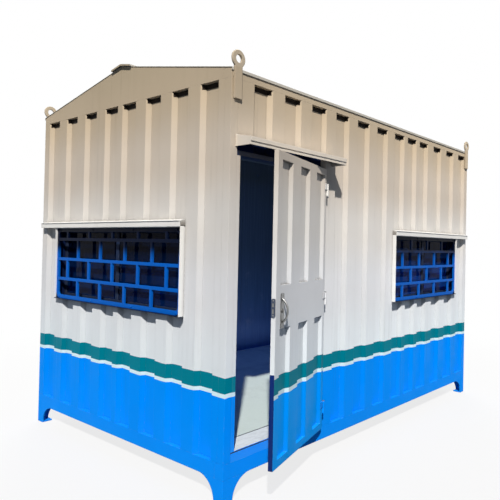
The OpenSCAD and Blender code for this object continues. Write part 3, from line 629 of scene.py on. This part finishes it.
# What each solid wears; the wall sheets that aren't named wear the wall's paint
FINISHES = (
    (roof_paint, "roof_front roof_rear ridge_cap"),
    (blue_paint, "base_rails_long base_rails_end floor_bearers corner_feet"),
    (trim_paint, "eave_rails left_gable right_gable corner_posts"),
    (fresh_and_highlight_paint, "lifting_eyes hinge_brackets leaf_hinges"),
    (hood_paint, "rain_hood"),
    (lintel_paint, "front_sheet_over_door"),
    (frame_paint, "door_frame"),
    (leaf_paint, "door_leaf"),
    (steel, "pull_handle"),
    (lock_steel, "door_lock"),
    (front_trim, "front_window_surround"),
    (left_trim, "left_window_surround"),
    (grille_paint, "front_window_grille left_window_grille"),
    (sash_metal, "front_window_sashes left_window_sashes"),
    (front_glass, "front_window_glass"),
    (left_glass, "left_window_glass"),
    (lining_board, "front_lining left_lining rear_lining right_lining ceiling"),
    (floor_vinyl, "floor_deck"),
)


def dress(obj, material):
    obj.data.materials.clear()
    obj.data.materials.append(material)


for solid in nodes.values():
    dress(solid, wall_paint)
for finish, names in FINISHES:
    for name in names.split():
        dress(nodes[name], finish)

# Small pieces that the drawing leaves out: fasteners, weld seams, end plates and lock parts

# A weld seam's ripples, and turned profiles as shares of a radius
BEAD_STEP, BEAD_SIDES, BEAD_DIP, BEAD_TIP, BEAD_MIN = 0.9, 6, 0.78, 0.35, 8
DOME = ((1.0, -0.15), (1.0, 0.12), (0.86, 0.34), (0.55, 0.50), (0.18, 0.56))
HEX_HEAD = ((1.0, 0.0), (1.0, 0.64), (0.82, 0.80))
DOME_SIDES, HEX_SIDES = 10, 6

# A washer as (share of its radius, height in metres), and the height at which a head stands on it
WASHER = ((1.0, -0.0005), (1.0, 0.0010), (0.9, 0.0016))
WASHER_SIDES, WASHER_T = 16, 0.0010


def ring(centre, axis, radius, sides):
    """Points around an axis."""
    x = axis.orthogonal().normalized()
    y = axis.normalized().cross(x)
    turns = (2 * math.pi * k / sides for k in range(sides))
    return [centre + radius * (math.cos(a) * x + math.sin(a) * y) for a in turns]


class Shapes:
    """Forms gathered into one mesh."""

    def __init__(self):
        self.verts, self.faces = [], []

    def loft(self, rings):
        """Closed rings of equal length joined one after another, with flat ends."""
        count, start = len(rings[0]), len(self.verts)
        for points in rings:
            self.verts.extend(points)
        for i in range(len(rings) - 1):
            a, b = start + i * count, start + (i + 1) * count
            for k in range(count):
                n = (k + 1) % count
                self.faces.append((a + k, a + n, b + n, b + k))
        last = start + (len(rings) - 1) * count
        self.faces.append(tuple(range(start + count - 1, start - 1, -1)))
        self.faces.append(tuple(range(last, last + count)))

    def turned(self, place, axis, profile, sides):
        """A turned form from (radius, height) points along an axis of length one."""
        self.loft([ring(place + axis * height, axis, radius, sides) for radius, height in profile])

    def bead(self, start, end, radius):
        """A weld seam: a rounded run with the ripples of the puddle, tapered at both ends."""
        along = end - start
        steps = max(BEAD_MIN, int(along.length / (radius * BEAD_STEP)))
        rings = []
        for i in range(steps + 1):
            size = radius * (1.0 if i % 2 else BEAD_DIP)
            if i in (0, steps):
                size = radius * BEAD_TIP
            rings.append(ring(start + along * (i / steps), along, size, BEAD_SIDES))
        self.loft(rings)

    def bolt(self, place, axis, washer, head):
        """A washer with a chamfered hexagon head on it."""
        self.turned(place, axis, [(washer * r, h) for r, h in WASHER], WASHER_SIDES)
        self.turned(place, axis, [(head * r, WASHER_T + head * h) for r, h in HEX_HEAD], HEX_SIDES)

    def rivet(self, place, axis, radius):
        """A low domed head."""
        self.turned(place, axis, [(radius * r, radius * h) for r, h in DOME], DOME_SIDES)

    def piece(self, name, material, body):
        """Puts the mesh in the scene, riding on a body."""
        mesh = bpy.data.meshes.new(name)
        mesh.from_pydata(self.verts, [], self.faces)
        mesh.update()
        obj = bpy.data.objects.new(name, mesh)
        scene.collection.objects.link(obj)
        dress(obj, material)
        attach(obj, body)


# Screws through the roof's ribs, and rivets along the ridge cap's edges
SCREW_ROWS, SCREW_WASHER, SCREW_HEAD = (0.13, 0.43, 0.73, 1.03), 0.009, 0.0055
CAP_RIVETS, CAP_RIVET_FROM, CAP_RIVET_PITCH = 25, 0.03, 0.15
CAP_RIVET_IN, CAP_RIVET_R, CAP_SEAT = 0.022, 0.005, 0.0005
first_rib = (LENGTH - (RIBS - 1) * RIB_PITCH) / 2
cap_rise = (CAP_LIFT - CAP_SEAT) * math.cos(SLOPE_ANGLE)
roof_screws = Shapes()
cap_rivets = Shapes()
for rear in (False, True):
    for i in range(RIBS):
        for y in SCREW_ROWS:
            place, out = on_roof(first_rib + i * RIB_PITCH, y, ROOF_T + RIB_H, rear)
            roof_screws.bolt(place, out, SCREW_WASHER, SCREW_HEAD)
    for i in range(CAP_RIVETS):
        rivet_x = CAP_RIVET_FROM + i * CAP_RIVET_PITCH
        place, out = on_roof(rivet_x, WIDTH / 2 - CAP_HALF + CAP_RIVET_IN, cap_rise, rear)
        cap_rivets.rivet(place, out, CAP_RIVET_R)
roof_screws.piece("roof_screws", steel, "building")
cap_rivets.piece("cap_rivets", roof_paint, "building")

# End plates that close the ridge cap, with a folded hem around each given by (inset, depth) steps
HEM = ((0.0015, 0.0), (0.0, 0.0006), (0.0, 0.0030), (0.0020, 0.0040))
cap_top, roof_top = RIDGE_Z + CAP_LIFT, RIDGE_Z + ROOF_T / math.cos(SLOPE_ANGLE) + CAP_GAP
cap_edge, cap_foot = cap_top - CAP_HALF * SLOPE, roof_top - CAP_HALF * SLOPE

# The plate's outline around the ridge as (y, z, share of the inset that a point drops by)
cap_outline = (
    (-CAP_HALF, cap_foot, 0), (-CAP_HALF, cap_edge, 1), (0.0, cap_top, 1),
    (CAP_HALF, cap_edge, 1), (CAP_HALF, cap_foot, 0), (0.0, roof_top, 0),
)


def cap_ring(x, inset):
    """The end plate's outline at a place along the ridge, drawn in by an inset."""
    narrow = 1 - inset / CAP_HALF
    return [at(x, WIDTH / 2 + y * narrow, z - inset * drop) for y, z, drop in cap_outline]


cap_ends = Shapes()
for x, way in ((-CAP_OVER, 1), (LENGTH + CAP_OVER, -1)):
    cap_ends.loft([cap_ring(x + way * depth, inset)[::way] for inset, depth in HEM])
cap_ends.piece("ridge_cap_ends", trim_paint, "building")

# Weld seams: the eye straps on the rails, the rain hood on the wall and the hinge plates
STRAP_SEAM_R, STRAP_SEAM_OFF, STRAP_SEAM_UP, STRAP_SEAM_DOWN = 0.0035, 0.001, 0.004, 0.012
HOOD_SEAM_R, HOOD_SEAM_OUT = 0.003, 0.002
HINGE_SEAM_R, HINGE_SEAM_OUT, WALL_SEAM_FROM, LEAF_SEAM_FROM = 0.0028, 0.001, 0.008, 0.016
seams = Shapes()
for x in (STRAP_IN, LENGTH - STRAP_IN):
    for y in (-STRAP_PROUD, WIDTH + STRAP_PROUD):
        for side in (-1, 1):
            seam_x = x + side * (STRAP_W / 2 + STRAP_SEAM_OFF)
            low, high = (at(seam_x, y, z) for z in (RAIL_Z + STRAP_SEAM_UP, EAVE_Z - STRAP_SEAM_DOWN))
            seams.bead(low, high, STRAP_SEAM_R)
seams.bead(at(HOOD_FROM, -HOOD_SEAM_OUT, HOOD_TOP), at(HOOD_TO, -HOOD_SEAM_OUT, HOOD_TOP), HOOD_SEAM_R)


def hinge_seams(shapes, place, start, end, low, high):
    """Seams along a hinge plate's long edges and its end, at points that place(along, out, z) gives."""
    for z in (low, high):
        shapes.bead(place(start, HINGE_SEAM_OUT, z), place(end, HINGE_SEAM_OUT, z), HINGE_SEAM_R)
    shapes.bead(place(end, HINGE_SEAM_OUT, low), place(end, HINGE_SEAM_OUT, high), HINGE_SEAM_R)


def on_wall(x, out, z):
    """A place before the front wall's face."""
    return at(x, -out, z)


# Turned caps over the hinge pins, as (share of the barrel's radius, height)
PIN_CAP = ((0.9, 0.0), (0.9, 0.002), (0.75, 0.004), (0.4, 0.0055), (0.1, 0.006))
PIN_CAP_SIDES = 16
UP = Vector((0.0, 0.0, 1.0))
plate_from = HINGE_X - STRAP_T / 2
leaf_seams = Shapes()
pin_caps = Shapes()
for z in HINGE_ZS:
    hinge_seams(seams, on_wall, plate_from + WALL_SEAM_FROM, plate_from + WALL_STRAP, z - KNUCKLE, z)
    hinge_seams(leaf_seams, on_leaf, LEAF_SEAM_FROM, LEAF_STRAP, z, z + KNUCKLE)
    pin_top = on_leaf(0.0, 0.0, z + KNUCKLE + KNUCKLE_GAP)
    pin_caps.turned(pin_top, UP, [(BARREL / 2 * r, h) for r, h in PIN_CAP], PIN_CAP_SIDES)
seams.piece("weld_seams", fresh_and_highlight_paint, "building")
leaf_seams.piece("leaf_weld_seams", leaf_paint, "door")
pin_caps.piece("hinge_pin_caps", steel, "door")

# Lock: latch and dead bolt on the edge plate as (height, half depth, half height), and the plate's screws
BOLTS = ((0.018, 0.006, 0.011), (-0.020, 0.005, 0.014))
BOLT_TALL, BOLT_CHAMFER, BOLT_SUNK = 0.0035, 0.0012, 0.001
LOCK_SCREW_Z, LOCK_SCREW_R = 0.045, 0.0045
plate_d, leaf_middle = LATCH_D + LOCK_T, -LEAF_T / 2


def lock_bolt(z, half_out, half_z):
    """Rings of a chamfered block that stands off the lock's edge plate."""
    rings = []
    for tall, inset in ((-BOLT_SUNK, 0.0), (BOLT_TALL - BOLT_CHAMFER, 0.0), (BOLT_TALL, BOLT_CHAMFER)):
        a, b = half_out - inset, half_z - inset
        corners = ((-a, -b), (-a, b), (a, b), (a, -b))
        rings.append([on_leaf(plate_d + tall, leaf_middle + u, z + v) for u, v in corners])
    return rings


lock_parts = Shapes()
for lift, half_out, half_z in BOLTS:
    lock_parts.loft(lock_bolt(LOCK_Z + lift, half_out, half_z))
for lift in (-LOCK_SCREW_Z, LOCK_SCREW_Z):
    lock_parts.rivet(on_leaf(plate_d, leaf_middle, LOCK_Z + lift), LATCH_WAY, LOCK_SCREW_R)
lock_parts.piece("lock_bolts", steel, "door")

# Screws at the handle plate's corners, and a lock cylinder in its rose as (radius, height)
PLATE_SCREW_X, PLATE_SCREW_Z, PLATE_SCREW_R = 0.013, 0.095, 0.0042
CYLINDER = ((0.0085, -0.001), (0.0085, 0.0018), (0.0070, 0.0026), (0.0058, 0.0026), (0.0054, 0.0012))
CYLINDER_SIDES = 20
handle_parts = Shapes()
for side in (-PLATE_SCREW_X, PLATE_SCREW_X):
    for lift in (-PLATE_SCREW_Z, PLATE_SCREW_Z):
        handle_parts.rivet(on_leaf(PULL_D + side, PLATE_T, PULL_Z + lift), LEAF_OUT, PLATE_SCREW_R)
handle_parts.turned(on_leaf(PULL_D, ROSE_H, PULL_Z), LEAF_OUT, CYLINDER, CYLINDER_SIDES)
handle_parts.piece("handle_screws", steel, "door")

# Rivets around the leaf's inner face, where its sheet is folded over the frame
RIVET_IN, LEAF_RIVET_R, RIVETS_UP, RIVETS_ACROSS = 0.028, 0.004, 9, 5
leaf_sides = (LEAF_FROM + RIVET_IN, LATCH_D - RIVET_IN)
leaf_ends = (LEAF_Z + RIVET_IN, LEAF_TOP - RIVET_IN)
rivet_places = [(along, z) for z in spread(*leaf_ends, RIVETS_UP) for along in leaf_sides]
rivet_places += [(along, z) for along in spread(*leaf_sides, RIVETS_ACROSS)[1:-1] for z in leaf_ends]
leaf_rivets = Shapes()
for along, z in rivet_places:
    leaf_rivets.rivet(on_leaf(along, -LEAF_T, z), -LEAF_OUT, LEAF_RIVET_R)
leaf_rivets.piece("leaf_rivets", leaf_paint, "door")

# Carriage bolts that hold the window grilles, those at the ends further in to clear the rounded corners
BOLT_IN, BOLT_SHIFT, BOLT_R, BOLTS_ALONG = 0.019, 0.035, 0.008, 4
grille_bolts = Shapes()
for (run_from, run_to), left in ((FRONT_WIN, False), (LEFT_WIN, True)):
    runs = spread(run_from + BOLT_IN, run_to - BOLT_IN, BOLTS_ALONG)
    runs[0] += BOLT_SHIFT
    runs[-1] -= BOLT_SHIFT
    for run in runs:
        for z in (WIN_Z + BOLT_IN, WIN_TOP - BOLT_IN):
            place = at(-GRILLE_FRONT, run, z) if left else at(run, -GRILLE_FRONT, z)
            grille_bolts.rivet(place, Vector((-1, 0, 0)) if left else Vector((0, -1, 0)), BOLT_R)
grille_bolts.piece("grille_bolts", grille_paint, "building")

# Camera: the photograph's own viewpoint, fitted to its edges, with angles in radians and lengths in pixels
CAM_PLACE = at(-2.314, -2.5048, 1.6135)
CAM_YAW, CAM_PITCH, CAM_ROLL = 0.6812, 0.0119, 0.0205
IMAGE, FOCAL_PX = 500.0, 544.16
CENTRE_X, CENTRE_Y = 306.9, 239.7
SENSOR = 36.0

level = math.cos(CAM_PITCH)
ahead = Vector((level * math.cos(CAM_YAW), level * math.sin(CAM_YAW), math.sin(CAM_PITCH)))
right = ahead.cross(UP).normalized()
above = right.cross(ahead)
tilted_right = math.cos(CAM_ROLL) * right + math.sin(CAM_ROLL) * above
tilted_up = math.cos(CAM_ROLL) * above - math.sin(CAM_ROLL) * right
lens = bpy.data.cameras.new("camera")
lens.sensor_fit = "HORIZONTAL"
lens.sensor_width = SENSOR
lens.lens = FOCAL_PX / IMAGE * SENSOR
lens.shift_x = (IMAGE / 2 - CENTRE_X) / IMAGE
lens.shift_y = (CENTRE_Y - IMAGE / 2) / IMAGE
lens.clip_start, lens.clip_end = 0.05, 300.0
camera = bpy.data.objects.new("camera", lens)
scene.collection.objects.link(camera)
turn = Matrix((tilted_right, tilted_up, -ahead)).transposed().to_4x4()
camera.matrix_world = Matrix.Translation(CAM_PLACE) @ turn
scene.camera = camera

# Light: a key from behind the camera, a weak broad lamp for the far sides, a glow in the room, a dim sky


def new_lamp(name, kind, power, colour):
    light = bpy.data.lights.new(name, kind)
    light.energy, light.color = power, colour
    obj = bpy.data.objects.new(name, light)
    scene.collection.objects.link(obj)
    return light, obj


def far_lamp(name, azimuth, lift, width, strength, colour):
    """An even lamp by angles in degrees: to the right from straight before the front, up, and its width."""
    light, obj = new_lamp(name, "SUN", strength, colour)
    light.angle = math.radians(width)
    azimuth, lift = math.radians(azimuth), math.radians(lift)
    flat = math.cos(lift)
    back = Vector((math.sin(azimuth) * flat, -math.cos(azimuth) * flat, math.sin(lift)))
    obj.rotation_euler = back.to_track_quat("Z", "Y").to_euler()


# The room's glow: its size, how far it lies behind the middle, and its lower and upper heights
GLOW_SIZE, GLOW_BACK = (2.6, 1.2), 0.2
GLOW_LOW, GLOW_HIGH = FLOOR_Z + 0.03, 2.45


def room_lamp(name, z, tip, power, colour):
    """A broad glow in the middle of the room, which the dark boards show by; it isn't seen itself."""
    light, obj = new_lamp(name, "AREA", power, colour)
    light.shape, light.size, light.size_y = "RECTANGLE", *GLOW_SIZE
    obj.location = at(LENGTH / 2, WIDTH / 2 + GLOW_BACK, z)
    obj.rotation_euler = (tip, 0.0, 0.0)
    obj.visible_camera = obj.visible_glossy = obj.visible_transmission = False


far_lamp("key", azimuth=-47.0, lift=43.0, width=1.4, strength=4.65, colour=(1.0, 0.965, 0.92))
far_lamp("far_side", azimuth=135.0, lift=30.0, width=40.0, strength=1.6, colour=(0.96, 0.98, 1.0))
room_lamp("room_low", GLOW_LOW, tip=math.pi, power=18.0, colour=(1.0, 1.0, 1.0))
room_lamp("room_high", GLOW_HIGH, tip=0.0, power=7.9, colour=(0.106, 0.247, 1.0))


def seen_directly(tree_nodes, tree_links):
    """One for rays from the camera, in reflections and through glass, nought for rays that only light."""
    path = tree_nodes.new("ShaderNodeLightPath")
    value = path.outputs["Is Camera Ray"]
    for other in ("Is Glossy Ray", "Is Transmission Ray"):
        most = tree_nodes.new("ShaderNodeMath")
        most.operation = "MAXIMUM"
        tree_links.new(value, most.inputs[0])
        tree_links.new(path.outputs[other], most.inputs[1])
        value = most.outputs[0]
    return value


# The surround: a dim pale blue that lights, and white where it is seen
SKY, SKY_LIGHT = (0.50, 0.68, 1.0, 1.0), 0.12
world = bpy.data.worlds.new("surround")
scene.world = world
world.use_nodes = True
world_nodes, world_links = world.node_tree.nodes, world.node_tree.links
world_nodes.clear()
pick = world_nodes.new("ShaderNodeMixShader")
world_links.new(seen_directly(world_nodes, world_links), pick.inputs[0])
for socket, colour, strength in ((pick.inputs[1], SKY, SKY_LIGHT), (pick.inputs[2], WHITE, 1.0)):
    background = world_nodes.new("ShaderNodeBackground")
    background.inputs["Color"].default_value = colour
    background.inputs["Strength"].default_value = strength
    world_links.new(background.outputs[0], socket)
world_links.new(pick.outputs[0], world_nodes.new("ShaderNodeOutputWorld").inputs[0])

# The studio floor: its size, its tone where seen and where it only reflects, and its way out to white
FLOOR_HALF, FLOOR_ROUGH = 60.0, 0.9
FLOOR_TONE, FLOOR_BOUNCE = (0.62, 0.62, 0.62, 1.0), (0.08, 0.10, 0.13, 1.0)
FADE_FROM, FADE_TO, FADE_LEAST = 2.6, 6.5, 0.80


def pale_floor():
    """A pale studio floor that keeps the shadow near the cabin and runs out to white."""
    t = Tree("studio_floor")
    seen = seen_directly(t.nodes, t.links)
    t.put(t.shader.inputs["Base Color"], t.mix(seen, FLOOR_BOUNCE, FLOOR_TONE))
    t.shader.inputs["Roughness"].default_value = FLOOR_ROUGH
    glow = t.add("ShaderNodeEmission", {"Color": WHITE, "Strength": 1.0}).outputs[0]
    distance = t.add("ShaderNodeVectorMath", {0: t.place}, operation="LENGTH").outputs["Value"]
    share = t.product(t.span(distance, FADE_FROM, FADE_TO, FADE_LEAST, 1.0), seen)
    both = t.add("ShaderNodeMixShader", {0: share, 1: t.shader.outputs[0], 2: glow})
    t.put(t.out.inputs["Surface"], both.outputs[0])
    return t.material


plane = bpy.data.meshes.new("studio_floor")
corners = [(x * FLOOR_HALF, y * FLOOR_HALF, 0.0) for x, y in ((-1, -1), (1, -1), (1, 1), (-1, 1))]
plane.from_pydata(corners, [], [(0, 1, 2, 3)])
ground = bpy.data.objects.new("studio_floor", plane)
scene.collection.objects.link(ground)
dress(ground, pale_floor())
